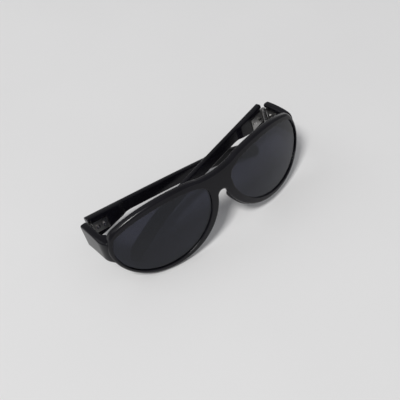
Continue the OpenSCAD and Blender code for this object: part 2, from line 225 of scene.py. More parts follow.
def front_matrix():
    """Matrix from the front's own frame in millimetres to the part's frame in metres.

    The two hinge pins lie at plus and minus PIN_X on one line, so the line between them is x and the
    pins' own axis is z.
    """
    left = np.array(JOINTS["temple_left_hinge"]["pos_m"])
    right = np.array(JOINTS["temple_right_hinge"]["pos_m"])
    across = (left - right) / np.linalg.norm(left - right)
    up = np.array(JOINTS["temple_right_hinge"]["axis"])
    up = up - across * (up @ across)
    up = up / np.linalg.norm(up)
    back = np.cross(up, across)
    turn = np.stack([across, back, up], axis=1)
    middle = (left + right) / 2
    zero = middle - turn @ np.array([0.0, HINGE_Y, HINGE_Z]) / MM
    return turn, zero


TURN, ZERO = front_matrix()
FOLD = {side: JOINTS["temple_%s_hinge" % side]["range_deg"][1] for side in SIDES}


def place(points):
    """Points of the front's own frame in millimetres, moved to the part's frame in metres."""
    return np.asarray(points) @ TURN.T / MM + ZERO


def unit(degrees):
    """Unit vectors of the plane that point in the given directions."""
    angle = np.radians(degrees)
    return np.stack([np.cos(angle), np.sin(angle)], axis=-1)


def arc_centres():
    """Centres of the rim's arcs: each arc starts where the last one ends and turns round its centre."""
    steps = RIM_R[:, None] * (unit(RIM_TURN[1:]) - unit(RIM_TURN[:-1]))
    starts = RIM_START + np.vstack([np.zeros((1, 2)), np.cumsum(steps, axis=0)[:-1]])
    return starts - RIM_R[:, None] * unit(RIM_TURN[:-1])


ARC_CENTRE = arc_centres()


def rim_at(normals, offset):
    """Points of the rim's outline, grown by offset, where its outward normal has the given directions.

    Each arc is its centre plus the unit normal times the arc's radius plus the offset.
    """
    arc = np.clip(np.searchsorted(RIM_TURN, normals, side="right") - 1, 0, len(RIM_R) - 1)
    reach = RIM_R[arc] + offset
    return ARC_CENTRE[arc] + reach[..., None] * unit(normals)


def in_turn(normals):
    """Directions a full turn back where they lie beyond the last one of the rim."""
    return np.where(normals > RIM_TURN[-1], normals - 360, normals)


def ball_y(x, z, radius):
    """Depth of the ball of the given radius behind the front of the bridge, straight for |x| < BALL_X."""
    side = np.maximum(np.abs(x) - BALL_X, 0)
    return BASE_R - np.sqrt(radius ** 2 - side ** 2 - (z - BALL_Z) ** 2)


def smooth(t):
    """The cubic that goes from 0 to 1 with level ends."""
    u = np.clip(t, 0, 1)
    return u * u * (3 - 2 * u)


def rounding(distance, radius):
    """How far a quarter-round edge of that radius has fallen at a distance from the edge."""
    gap = radius - np.minimum(distance, radius)
    return radius - np.sqrt(np.maximum(radius ** 2 - gap ** 2, 0))


def distance_to(points, line):
    """Shortest distance from each point to a line of straight pieces, by projection on every piece."""
    start = line[:-1]
    along = line[1:] - start
    length = np.maximum((along ** 2).sum(axis=1), 1e-12)
    rel = points[:, None, :] - start[None]
    part = np.clip((rel * along).sum(axis=2) / length, 0, 1)
    gap = rel - part[..., None] * along
    return np.sqrt((gap ** 2).sum(axis=2)).min(axis=1)


def even(points, count):
    """count points spaced evenly by length along a line of points."""
    step = np.linalg.norm(np.diff(points, axis=0), axis=1)
    length = np.concatenate([[0], np.cumsum(step)])
    want = np.linspace(0, length[-1], count)
    return np.stack([np.interp(want, length, points[:, k]) for k in range(points.shape[1])], axis=1)


def mesh_object(name, points, faces, material, body, node):
    """A smooth mesh from points of the front's frame, riding on a body and standing for a node."""
    mesh = bpy.data.meshes.new(name)
    mesh.from_pydata(place(points).tolist(), [], [list(face) for face in faces])
    mesh.validate()
    mesh.shade_smooth()
    mesh.materials.append(material)
    piece = bpy.data.objects.new(name, mesh)
    bpy.context.scene.collection.objects.link(piece)
    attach(piece, body)
    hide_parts(node)
    return piece


def grid_faces(rows, columns, first=0, flip=False):
    """Quads between points numbered row by row from first, with the last column joined to the first."""
    start = np.arange(rows - 1)[:, None] * columns
    c = np.arange(columns)[None]
    d = (c + 1) % columns
    quads = np.stack([start + c, start + d, start + columns + d, start + columns + c], axis=-1)
    quads = quads.reshape(-1, 4) + first
    return quads[:, ::-1] if flip else quads


def skin(rings, flip=False):
    """Points and faces of a closed skin over rings, with a fan to the middle of the first and last ring."""
    rows, columns, _ = rings.shape
    points = np.vstack([rings.reshape(-1, 3), rings[0].mean(axis=0), rings[-1].mean(axis=0)])
    faces = grid_faces(rows, columns, flip=flip).tolist()
    k = np.arange(columns)
    after = (k + 1) % columns
    start = np.stack([np.full(columns, rows * columns), after, k], axis=1)
    last = (rows - 1) * columns
    end = np.stack([np.full(columns, rows * columns + 1), last + k, last + after], axis=1)
    fans = np.vstack([start, end])
    faces += (fans[:, ::-1] if flip else fans).tolist()
    return points, faces


def rounded_ring(half_w, half_h, radius):
    """Offsets round a rectangle with round corners, for arrays of half widths, half heights and radii.

    Each corner is a quarter circle of the radius round a point inset from the corner by the radius.
    """
    angle = np.radians(np.concatenate([90 * q + np.linspace(0, 90, RING_STEPS) for q in range(4)]))
    sign_w = np.repeat([1, -1, -1, 1], RING_STEPS)
    sign_h = np.repeat([1, 1, -1, -1], RING_STEPS)
    half_w = np.asarray(half_w)[..., None]
    half_h = np.asarray(half_h)[..., None]
    radius = np.minimum(np.minimum(np.asarray(radius)[..., None], half_w), half_h)
    a = sign_w * (half_w - radius) + radius * np.cos(angle)
    b = sign_h * (half_h - radius) + radius * np.sin(angle)
    return a, b


def mirrored(points, side):
    """Points on the wearer's left, or their mirror image on the right."""
    return points * np.array([side, 1, 1])


def outward(faces, side):
    """Faces for the given side: a mirror image has its corners in reverse, so it still faces outwards."""
    return [face[::-1] for face in faces] if side < 0 else faces


def joined(skins):
    """Points and faces of several skins in one, numbered on from each skin to the next."""
    first = np.cumsum([0] + [len(points) for points, _ in skins])
    faces = [[int(k + start) for k in face] for start, (_, some) in zip(first, skins) for face in some]
    return np.vstack([points for points, _ in skins]), faces


def bridge_path(normal_top, normal_arch, count):
    """Outline of the bridge's left half: the top edge to the middle, straight down, and the nose arch.

    The top edge is a parabola that rises by BRIDGE_RISE over BRIDGE_HALF, and the arch a circle.
    """
    x = np.linspace(BRIDGE_HALF, 0, 40)
    top = np.stack([x, BRIDGE_RISE * (x / BRIDGE_HALF) ** 2], axis=1)
    top[0] = rim_at(np.array([normal_top]), 0)[0]
    low = np.array([0, -BRIDGE_H - ARCH_R])
    meet = rim_at(np.array([normal_arch]), 0)[0] - low
    arch = low + ARCH_R * unit(np.linspace(90, math.degrees(math.atan2(meet[1], meet[0])), 16))
    n_top = count // 2
    n_arch = count // 5
    share = 0.5 - 0.5 * np.cos(np.linspace(0, np.pi, count - n_top - n_arch + 2))
    seam = top[-1] + (arch[0] - top[-1]) * share[:, None]
    return np.vstack([even(top, n_top), seam[1:-1], even(arch, n_arch)]), n_top, n_arch


def front_half(round_out, round_in):
    """Grids of the left half of the front: rings from the lens opening out to the outline of the front.

    The back edge is rounder beside the nose, by NOSE_ROUND. Returns the plane points (rows, columns, 2),
    the depth of the front and of the back, and the columns on the middle plane, where the halves join.
    """
    fine = np.linspace(*TOP_MEETS, 400)
    normal_top = np.interp(-BRIDGE_HALF, -rim_at(fine, 0.0)[:, 0], fine)
    fine = np.linspace(*ARCH_MEETS, 400)
    to_arch = np.linalg.norm(rim_at(fine, 0.0) - [0, -BRIDGE_H - ARCH_R], axis=1)
    normal_arch = np.interp(-ARCH_R, -to_arch, fine)
    around = in_turn(np.linspace(normal_arch, normal_top + 360, 1500))
    line = rim_at(around, 0.0)
    step = np.concatenate([[0], np.cumsum(np.linalg.norm(np.diff(line, axis=0), axis=1))])
    unwrapped = np.unwrap(np.radians(around))
    normals = np.degrees(np.interp(np.linspace(0, step[-1], RIM_COLUMNS), step, unwrapped))
    path, n_top, n_arch = bridge_path(normal_top, normal_arch, BRIDGE_COLUMNS)
    inner_normals = np.linspace(normals[-1], normals[0] + 360, BRIDGE_COLUMNS)
    normals = in_turn(np.concatenate([normals[:-1], inner_normals[:-1]]))
    bridge = RIM_COLUMNS - 1
    outer = rim_at(normals, 0.0)
    outer[bridge:] = path[:-1]
    opening = rim_at(normals, -RIM_BAND) + LENS_SHIFT
    u = 0.5 - 0.5 * np.cos(np.linspace(0, np.pi, FRONT_RINGS))
    plane = opening[None] + (outer - opening)[None] * u[:, None, None]
    seam = np.zeros(len(outer), bool)
    seam[bridge + n_top - 1:bridge + BRIDGE_COLUMNS - n_arch + 1] = True
    edge_line = np.vstack([path[BRIDGE_COLUMNS - n_arch:], outer[:bridge], path[:n_top]])
    flat = plane.reshape(-1, 2)
    d_out = distance_to(flat, edge_line)
    d_in = distance_to(flat, np.vstack([opening, opening[:1]]))
    fall_front = rounding(d_out, round_out) + rounding(d_in, round_in)
    by_nose = smooth((NOSE_HALF - np.abs(flat[:, 0])) / NOSE_FADE)
    by_nose = by_nose * smooth((NOSE_TOP - flat[:, 1]) / NOSE_FADE)
    by_nose = by_nose * smooth((flat[:, 1] - NOSE_LOW) / (2 * NOSE_FADE))
    fall_back = rounding(d_out, round_out * BACK_EDGE + NOSE_ROUND * by_nose) + rounding(d_in, round_in)
    front = ball_y(flat[:, 0], flat[:, 1], BASE_R) + fall_front
    back = ball_y(flat[:, 0], flat[:, 1], BASE_R - RIM_T) - fall_back
    return plane, front.reshape(plane.shape[:2]), back.reshape(plane.shape[:2]), seam


def front_shell(round_out, round_in):
    """Points and faces of both rims with the bridge: front and back grids, and walls between them."""
    plane, front, back, seam = front_half(round_out, round_in)
    rows, columns = front.shape
    points = []
    faces = []
    seam_faces = seam & np.roll(seam, -1)
    for side in (1, -1):
        base = len(points) * rows * columns
        for depth in (front, back):
            points.append(np.stack([side * plane[..., 0], depth, plane[..., 1]], axis=-1).reshape(-1, 3))
        flip = side > 0
        faces.append(grid_faces(rows, columns, base, flip))
        faces.append(grid_faces(rows, columns, base + rows * columns, not flip))
        k = np.arange(columns)
        after = (k + 1) % columns
        inner = np.stack([base + after, base + k, base + rows * columns + k,
                          base + rows * columns + after], axis=1)
        last = base + (rows - 1) * columns
        outer = np.stack([last + k, last + after, last + rows * columns + after,
                          last + rows * columns + k], axis=1)[~seam_faces]
        walls = np.vstack([inner, outer])
        faces.append(walls[:, ::-1] if flip else walls)
    return np.vstack(points), np.vstack(faces)


def band_skin(along, inner, outer, low, high, radius, inset, hold, level, field, line_z):
    """Closed skin of a band that runs along a line, with an inner and an outer face and round edges.

    Each row is a rectangle between inner and outer, low and high, made smaller by inset, with quarter
    circles of the radius at its corners. The columns of both faces stand at line_z over level in the
    rows of hold, pressed together beyond LEAF_HALF where the band is too low for them, and elsewhere at
    the shares of the height that they have in the last such row. field gives the depth of the relief
    and the pocket in the inner face over along and z - level.
    """
    corner = np.radians(np.linspace(0, 90, CORNER_STEPS))
    radius = np.minimum(radius, np.minimum((outer - inner) / 2, (high - low) / 2) - inset - 1e-3)
    low = (low + inset)[:, None]
    high = (high - inset)[:, None]
    inner = (inner + inset)[:, None]
    outer = (outer - inset)[:, None]
    radius = radius[:, None]
    middle = (low + high) / 2
    half = (high - low) / 2 - radius
    last = hold[-1]
    kept = np.clip(line_z, -LEAF_HALF - STEP_W, LEAF_HALF + STEP_W)
    beyond = line_z - kept
    reach = max(np.abs(beyond).max(), 1e-6)
    over = middle - level[:, None]
    room = half + np.where(beyond > 0, over, -over) - np.abs(kept)
    lines = level[:, None] + kept + beyond * np.clip((room - 0.02) / reach, 0, 1)
    share = (lines[last] - middle[last]) / half[last]
    held = np.zeros(len(along), bool)
    held[hold] = True
    lines = np.where(held[:, None], lines, middle + share * half)
    below = low + radius * (1 - np.cos(corner))
    above = (high - radius * (1 - np.cos(corner)))[:, ::-1]
    z = np.concatenate([below, lines, above], axis=1)
    bend = np.concatenate([1 - np.sin(corner), np.zeros(len(line_z)), (1 - np.sin(corner))[::-1]])
    depth = np.zeros(z.shape)
    count = len(corner)
    depth[:, count:-count] = field(along[:, None], lines - level[:, None])
    x_in = inner + np.maximum(radius * bend, depth)
    x_out = outer - radius * bend
    x = np.concatenate([x_in, x_out[:, ::-1]], axis=1)
    z = np.concatenate([z, z[:, ::-1]], axis=1)
    rows, columns = x.shape
    points = np.stack([x, np.repeat(along[:, None], columns, axis=1), z], axis=-1).reshape(-1, 3)
    k = np.arange(columns // 2 - 1)
    opposite = columns - 1 - k
    start = np.stack([k, opposite, opposite - 1, k + 1], axis=1)
    end = start[:, ::-1] + (rows - 1) * columns
    return points, np.vstack([grid_faces(rows, columns), start, end])


def butt_rows(first, bevel):
    """Rows and insets of a quarter-round edge that starts at first: an arc of the bevel's radius."""
    roll = np.radians(np.linspace(0, 90, BUTT_STEPS))
    return first + bevel * (1 - np.sin(roll))[::-1], bevel * (1 - np.cos(roll))[::-1]


def hinge_rows():
    """Distances from the pin of the rows beside a hinge, behind its butt face, to just past the pocket."""
    return np.concatenate([np.linspace(0.65, RELIEF_R, 12), np.linspace(2.6, LEAF_END - STEP_W, 9),
                           [LEAF_END + STEP_W]])


def hinge_field(s, z):
    """Depth of the hollows beside the hinge, s away from the pin: a round relief and a flat pocket.

    The relief is the cylinder of RELIEF_R round the pin, and the pocket is LEAF_IN deep up to LEAF_END.
    """
    relief = np.sqrt(np.maximum(RELIEF_R ** 2 - s ** 2, 0)) - PIN_IN
    relief = np.where(np.abs(z) < RELIEF_HALF, relief, 0)
    pocket = np.where((np.abs(z) < LEAF_HALF) & (s < LEAF_END), LEAF_IN, 0)
    return np.maximum(np.maximum(relief, pocket), 0)


def opening_x(z):
    """How far out the lens opening reaches at a height, from the rim's outer arcs."""
    normals = np.concatenate([np.linspace(315, 345, 60, endpoint=False), np.linspace(-15, 60, 120)])
    line = rim_at(normals, -RIM_BAND) + LENS_SHIFT
    order = np.argsort(line[:, 1])
    return np.interp(z, line[order, 1], line[order, 0])


def end_piece(round_edge):
    """Closed skin of the left end piece: a wall that turns back from the rim and runs to the hinge.

    Outside it is an arc of CORNER_R and then straight, inside it follows the lens opening and then
    INNER_X, and its height follows two parabolas from the hinge to the rim.
    """
    corner_x = END_X - CORNER_R
    corner_y = ball_y(corner_x, BALL_Z, BASE_R) + CORNER_BACK
    run = HINGE_Y - corner_y + END_REACH
    rows, inset = butt_rows(BUTT_GAP, BUTT_BEVEL)
    straight = np.linspace(LEAF_END + ROW_STEP, HINGE_Y - corner_y, 8)
    corner = np.linspace(HINGE_Y - corner_y, HINGE_Y - ROOT_Y, 14)
    body = np.concatenate([hinge_rows(), straight, corner[1:]])
    s = np.concatenate([rows, body])
    inset = np.concatenate([inset, np.zeros(len(body))])
    y = HINGE_Y - s
    t = s / run
    high = END_TOP - TOP_FALL * t * t
    low = END_LOW - LOW_FALL * t * t
    ahead = np.minimum(y - corner_y, 0)
    outer = corner_x + np.sqrt(CORNER_R ** 2 - ahead ** 2)
    hold = np.flatnonzero(s < LEAF_END + 2 * STEP_W)
    points, faces = band_skin(s, np.full(len(s), INNER_X), outer, low, high, round_edge, inset, hold,
                              np.full(len(s), HINGE_Z), hinge_field, LINE_Z)
    points = points * [1, -1, 1] + [0, HINGE_Y, 0]
    columns = len(points) // len(s)
    follow = smooth((corner_y + ROOT_BEHIND - points[:, 1]) / ROOT_BLEND)
    share = (outer.repeat(columns) - points[:, 0]) / (outer - INNER_X).repeat(columns)
    points[:, 0] += follow * share * (opening_x(points[:, 2]) - INNER_X)
    return points, faces[:, ::-1]


def edge_back(t):
    """Depth of the nose edge's back at a share of its length: a slow rise and a quicker end."""
    taper = np.minimum(smooth(t / RISE_SHARE), smooth((1 - t) / FALL_SHARE))
    return FLANGE_FRONT + FLANGE_LEAST + (FLANGE_BACK - FLANGE_FRONT - FLANGE_LEAST) * taper


def nose_edge():
    """Closed skin of the left raised nose edge, a band behind the rim whose ends taper and sink into it."""
    t = np.linspace(0, 1, EDGE_RINGS)
    normals = FLANGE_FROM + (FLANGE_TO - FLANGE_FROM) * t
    back = edge_back(t)
    sunk = 1 - np.minimum(smooth(t / SINK_SHARE), smooth((1 - t) / SINK_SHARE))
    front = FLANGE_FRONT + SINK_BACK * sunk
    back = np.maximum(back, front + FLANGE_LEAST)
    a, b = rounded_ring(np.full(len(t), FLANGE_T / 2), (back - front) / 2, np.full(len(t), FLANGE_EDGE))
    middle = rim_at(normals, -FLANGE_IN - FLANGE_T / 2 - SINK_IN * sunk)
    plan = middle[:, None, :] + a[..., None] * unit(normals)[:, None, :]
    depth = (back + front)[:, None] / 2 + b
    rings = np.stack([plan[..., 0], depth, plan[..., 1]], axis=-1)
    return skin(rings)


def nose_pad():
    """Closed skin of the left nose pad: a teardrop cushion along the nose edge, thin at its upper end.

    Its fullness is the square root of a sine that runs faster towards the lower end.
    """
    t = np.linspace(0, 1, PAD_RINGS)
    ease = 0.5 - 0.5 * np.cos(np.pi * t)
    share = PAD_SHARE[0] + (PAD_SHARE[1] - PAD_SHARE[0]) * ease
    normals = FLANGE_FROM + (FLANGE_TO - FLANGE_FROM) * share
    swell = np.sqrt(np.maximum(np.sin(np.pi * ease ** PAD_LEAN), 0))
    out = (PAD_T - PAD_SLIM) * swell
    half_t = (out + PAD_SEAT) / 2
    deep = np.maximum(np.minimum(PAD_FROM + PAD_D, edge_back(share) + PAD_SLIM) - PAD_FROM, 0.1)
    half_d = deep / 2 * np.maximum(swell, PAD_LEAST) ** END_CLOSE
    a, b = rounded_ring(half_t, half_d, np.minimum(half_t, half_d) * PAD_ROUND)
    middle = rim_at(normals, 0.0) + ((out - PAD_SEAT) / 2)[:, None] * unit(normals)
    plan = middle[:, None, :] + a[..., None] * unit(normals)[:, None, :]
    depth = PAD_FROM + deep[:, None] / 2 + b
    rings = np.stack([plan[..., 0], depth, plan[..., 1]], axis=-1)
    return skin(rings)


def lens_shell():
    """Closed skin of the left lens: front and back on two balls, spread from the middle to the outline.

    A point is the middle plus a share of the way to the outline, and the shares are closer at the edge.
    """
    normals = np.linspace(RIM_TURN[0], RIM_TURN[-1], LENS_COLUMNS + 1)[:-1]
    outline = rim_at(normals, LENS_GRIP - RIM_BAND) + LENS_SHIFT
    middle = outline.mean(axis=0)
    share = np.sin(np.linspace(0.02, np.pi / 2, LENS_RINGS))
    plane = middle + (outline - middle)[None] * share[:, None, None]
    front = ball_y(plane[..., 0], plane[..., 1], BASE_R - LENS_FRONT)
    back = ball_y(plane[..., 0], plane[..., 1], BASE_R - LENS_FRONT - LENS_T)
    front_rings = np.stack([plane[..., 0], front, plane[..., 1]], axis=-1)
    back_rings = np.stack([plane[..., 0], back, plane[..., 1]], axis=-1)
    rings = np.concatenate([front_rings, back_rings[::-1]])
    return skin(rings, flip=True)


def sweep(s):
    """Inward bend of the temple, a parabola that starts at SWEEP_FROM."""
    return np.where(s > SWEEP_FROM, (s - SWEEP_FROM) ** 2 / SWEEP_FLAT, 0)


def drop(s):
    """Downward bend of the temple, a parabola from DROP_FROM that reaches TIP_DROP at the tip."""
    return np.where(s > DROP_FROM, TIP_DROP * ((s - DROP_FROM) / DROP_RUN) ** 2, 0)


def arm_top(s):
    """Height of the temple's top edge over the middle of the hinge."""
    return END_TOP - HINGE_Z - drop(s) - DROOP * s


def arm_height(s):
    """Height of the temple: the end piece's at the hinge, slim behind it and wider again at the tip."""
    block = END_TOP - END_LOW - ARM_H
    return ARM_H + block * (1 - smooth(s / SLIM_RUN)) + TIP_WIDER * smooth((s - TIP_FROM) / TIP_RUN)


def arm_out(s):
    """Distance of the temple's outer face from the hinge pin."""
    return END_X - PIN_X - sweep(s)


def arm_in(s):
    """Distance of the temple's inner face from the hinge pin, with its step behind the hinge block."""
    thick = ARM_T + (END_T - ARM_T) * (1 - smooth((s - BLOCK_LEN) / BLOCK_STEP))
    return np.where(s <= BLOCK_LEN, PIN_IN, arm_out(s) - thick)


def arm_skin(round_edge):
    """Closed skin of a temple from the hinge to the sleeve, with its relief and pocket for the hinge."""
    rows, inset = butt_rows(BUTT_GAP, BUTT_BEVEL)
    block = np.linspace(LEAF_END + ROW_STEP, BLOCK_LEN - ROW_STEP / 2, 10)
    step = np.linspace(BLOCK_LEN, BLOCK_LEN + BLOCK_STEP + 0.5, 16)
    slim = np.linspace(BLOCK_LEN + BLOCK_STEP + 2, TIP_FROM + 0.5, 50)
    body = np.concatenate([hinge_rows(), block, step, slim])
    s = np.concatenate([rows, body])
    inset = np.concatenate([inset, np.zeros(len(body))])
    hold = np.flatnonzero(s < LEAF_END + 2 * STEP_W)
    return band_skin(s, arm_in(s), arm_out(s), arm_top(s) - arm_height(s), arm_top(s),
                     round_edge, inset, hold, -DROOP * s, hinge_field, LINE_Z)


def no_field(s, z):
    """A face without hollows."""
    return np.zeros(np.broadcast(s, z).shape)


def sleeve_skin(round_edge):
    """Closed skin of the soft sleeve: the temple grown by SLEEVE, with a rolled lip and a round end.

    The end is half an oval of SLEEVE_END along the temple and of the sleeve's own height.
    """
    roll = np.radians(np.linspace(0, 90, 6))
    body = np.linspace(TIP_FROM + 1.5, END_S, 44)
    turn = np.radians(np.linspace(6, 88, 14))
    straight = len(roll) + len(body)
    s = np.concatenate([TIP_FROM + SLEEVE_LIP * (1 - np.cos(roll)), body, np.full(len(turn), END_S)])
    grow = np.concatenate([SLEEVE - SLEEVE_LIP * (1 - np.sin(roll)), np.full(len(s) - len(roll), SLEEVE)])
    shrink = np.concatenate([np.ones(straight), np.cos(turn)])
    ahead = np.concatenate([np.zeros(straight), SLEEVE_END * np.sin(turn)])
    slope = DROOP + 2 * TIP_DROP * (END_S - DROP_FROM) / DROP_RUN ** 2
    half_w = ((arm_out(s) - arm_in(s)) / 2 + grow) * shrink ** END_CLOSE
    half_h = (arm_height(s) / 2 + grow) * shrink
    middle_x = (arm_out(s) + arm_in(s)) / 2
    middle_z = arm_top(s) - arm_height(s) / 2 - slope * ahead
    return band_skin(s + ahead, middle_x - half_w, middle_x + half_w, middle_z - half_h, middle_z + half_h,
                     round_edge, np.zeros(len(s)), np.array([0]), middle_z, no_field, SLEEVE_Z)


def folded(points, side):
    """Points of a temple drawn open round the pin, turned to their folded place on the given side."""
    angle = math.radians(FOLD[side])
    x = points[:, 0] * math.cos(angle) - points[:, 1] * math.sin(angle) + PIN_X
    y = points[:, 0] * math.sin(angle) + points[:, 1] * math.cos(angle) + HINGE_Y
    return mirrored(np.stack([x, y, points[:, 2] + HINGE_Z], axis=-1), SIDES[side])


def surface_group():
    """Shared node group: clouded colour, patchy roughness and a fine height, from two noises."""
    name = "Surface variation"
    if name in bpy.data.node_groups:
        return bpy.data.node_groups[name]
    group = bpy.data.node_groups.new(name, "ShaderNodeTree")
    sockets = group.interface
    sockets.new_socket("Vector", in_out="INPUT", socket_type="NodeSocketVector")
    for label in ("Cloud Scale", "Grain Scale", "Roughness", "Patches"):
        sockets.new_socket(label, in_out="INPUT", socket_type="NodeSocketFloat")
    for label in ("Dark", "Light"):
        sockets.new_socket(label, in_out="INPUT", socket_type="NodeSocketColor")
    sockets.new_socket("Color", in_out="OUTPUT", socket_type="NodeSocketColor")
    sockets.new_socket("Roughness", in_out="OUTPUT", socket_type="NodeSocketFloat")
    sockets.new_socket("Height", in_out="OUTPUT", socket_type="NodeSocketFloat")
    nodes = group.nodes
    links = group.links
    given = nodes.new("NodeGroupInput")
    out = nodes.new("NodeGroupOutput")
    cloud = nodes.new("ShaderNodeTexNoise")
    cloud.inputs["Detail"].default_value = 4
    grain = nodes.new("ShaderNodeTexNoise")
    grain.inputs["Detail"].default_value = 2
    links.new(given.outputs["Vector"], cloud.inputs["Vector"])
    links.new(given.outputs["Vector"], grain.inputs["Vector"])
    links.new(given.outputs["Cloud Scale"], cloud.inputs["Scale"])
    links.new(given.outputs["Grain Scale"], grain.inputs["Scale"])
    spread = nodes.new("ShaderNodeMapRange")
    spread.inputs["From Min"].default_value = 0.35
    spread.inputs["From Max"].default_value = 0.65
    links.new(cloud.outputs["Fac"], spread.inputs["Value"])
    mix = nodes.new("ShaderNodeMix")
    mix.data_type = "RGBA"
    links.new(spread.outputs["Result"], mix.inputs["Factor"])
    links.new(given.outputs["Dark"], mix.inputs["A"])
    links.new(given.outputs["Light"], mix.inputs["B"])
    links.new(mix.outputs["Result"], out.inputs["Color"])
    rough = nodes.new("ShaderNodeMath")
    rough.operation = "MULTIPLY_ADD"
    links.new(spread.outputs["Result"], rough.inputs[0])
    links.new(given.outputs["Patches"], rough.inputs[1])
    links.new(given.outputs["Roughness"], rough.inputs[2])
    links.new(rough.outputs["Value"], out.inputs["Roughness"])
    links.new(grain.outputs["Fac"], out.inputs["Height"])
    return group


def finish_material(name, dark, light, roughness, patches, cloud, grain, bump, stretch=(1, 1, 1), **fixed):
    """A material whose colour, roughness and fine bump come from the shared group, on object coordinates.

    It is made once. The fixed values are set on the shader's own sockets.
    """
    if name in bpy.data.materials:
        return bpy.data.materials[name]
    material = bpy.data.materials.new(name)
    material.use_nodes = True
    nodes = material.node_tree.nodes
    links = material.node_tree.links
    shader = nodes["Principled BSDF"]
    coords = nodes.new("ShaderNodeTexCoord")
    mapping = nodes.new("ShaderNodeMapping")
    mapping.inputs["Scale"].default_value = stretch
    group = nodes.new("ShaderNodeGroup")
    group.node_tree = surface_group()
    group.inputs["Cloud Scale"].default_value = cloud
    group.inputs["Grain Scale"].default_value = grain
    group.inputs["Roughness"].default_value = roughness
    group.inputs["Patches"].default_value = patches
    group.inputs["Dark"].default_value = (*dark, 1)
    group.inputs["Light"].default_value = (*light, 1)
    relief = nodes.new("ShaderNodeBump")
    relief.inputs["Strength"].default_value = bump
    relief.inputs["Distance"].default_value = 0.0001
    links.new(coords.outputs["Object"], mapping.inputs["Vector"])
    links.new(mapping.outputs["Vector"], group.inputs["Vector"])
    links.new(group.outputs["Color"], shader.inputs["Base Color"])
    links.new(group.outputs["Roughness"], shader.inputs["Roughness"])
    links.new(group.outputs["Height"], relief.inputs["Height"])
    links.new(relief.outputs["Normal"], shader.inputs["Normal"])
    for label, value in fixed.items():
        shader.inputs[label.replace("_", " ")].default_value = value
    return material


class SunglassesSizes(bpy.types.PropertyGroup):
    """Roundness of the moulded edges."""
    rim_edge: FloatProperty(name="Rim edge", description="Radius of the rim's outer edges", default=0.0014,
                            min=0.0002, max=0.0018, subtype="DISTANCE", unit="LENGTH")
    lens_edge: FloatProperty(name="Lens opening edge", description="Radius of the lens opening's edges",
                             default=0.0005, min=0.0001, max=0.0008, subtype="DISTANCE", unit="LENGTH")
    arm_edge: FloatProperty(name="Temple edge", description="Radius of the long edges of a temple",
                            default=0.0011, min=0.0002, max=0.0015, subtype="DISTANCE", unit="LENGTH")
    floor_size: FloatProperty(name="Floor size", description="Width of the table top", default=12.0,
                              min=1.0, max=20.0, subtype="DISTANCE", unit="LENGTH")


class SunglassesColours(bpy.types.PropertyGroup):
    """Colours of the finishes."""
    frame: FloatVectorProperty(name="Frame", description="Colour of the moulded front and temples",
                               default=(0.0036, 0.0034, 0.0050), size=3, min=0, max=1, subtype="COLOR")
    lens: FloatVectorProperty(name="Lens", description="Tint of the lenses",
                              default=(0.025, 0.026, 0.040), size=3, min=0, max=1, subtype="COLOR")
    rubber: FloatVectorProperty(name="Soft parts", description="Colour of the pads and sleeves",
                                default=(0.012, 0.012, 0.014), size=3, min=0, max=1, subtype="COLOR")
    steel: FloatVectorProperty(name="Metal", description="Colour of the hinges and screws",
                               default=(0.40, 0.395, 0.39), size=3, min=0, max=1, subtype="COLOR")
    table: FloatVectorProperty(name="Table", description="Colour of the table top",
                               default=(0.785, 0.783, 0.785), size=3, min=0, max=1, subtype="COLOR")


def frame_material():
    """Glossy black moulded plastic with a faint clouding and a fine orange-peel skin."""
    colour = np.array(bpy.context.scene.sunglasses_colours.frame)
    return finish_material("Glossy frame plastic", colour, colour * 1.8, roughness=0.16, patches=0.1,
                           cloud=45.0, grain=650.0, bump=0.03, IOR=1.45, Specular_IOR_Level=0.3)


def lens_material():
    """Dark tinted lens: clear tinted plastic with a polished face and faint smears."""
    tint = np.array(bpy.context.scene.sunglasses_colours.lens)
    return finish_material("Tinted lens", tint * 0.95, tint * 1.05, roughness=0.02, patches=0.03,
                           cloud=35.0, grain=300.0, bump=0.0, Transmission_Weight=1.0, IOR=1.45,
                           Specular_IOR_Level=0.38, Specular_Tint=(0.87, 0.90, 1.0, 1))


def rubber_material():
    """Matt soft rubber with a fine grain."""
    colour = np.array(bpy.context.scene.sunglasses_colours.rubber)
    return finish_material("Soft rubber", colour, colour * 1.8, roughness=0.52, patches=0.14,
                           cloud=90.0, grain=1800.0, bump=0.25, IOR=1.45)


def steel_material():
    """Satin hinge metal with brushing along the leaf."""
    colour = np.array(bpy.context.scene.sunglasses_colours.steel)
    return finish_material("Hinge metal", colour * 0.8, colour, roughness=0.24, patches=0.2,
                           cloud=140.0, grain=2400.0, bump=0.2, stretch=(1, 0.15, 1), Metallic=1.0)


def screw_material():
    """Turned screw steel, a little brighter and smoother than the leaves."""
    colour = np.array(bpy.context.scene.sunglasses_colours.steel)
    return finish_material("Screw steel", colour, colour * 1.25, roughness=0.16, patches=0.14,
                           cloud=260.0, grain=3200.0, bump=0.15, Metallic=1.0)


def table_material():
    """Pale matt table top with a very faint clouding."""
    colour = np.array(bpy.context.scene.sunglasses_colours.table)
    return finish_material("Table top", colour * 0.985, colour, roughness=0.55, patches=0.1,
                           cloud=6.0, grain=400.0, bump=0.03)


def weld(piece):
    """Joins the points that the two halves of the front share on the middle plane."""
    mesh = bmesh.new()
    mesh.from_mesh(piece.data)
    bmesh.ops.remove_doubles(mesh, verts=mesh.verts, dist=2e-6)
    mesh.to_mesh(piece.data)
    mesh.free()


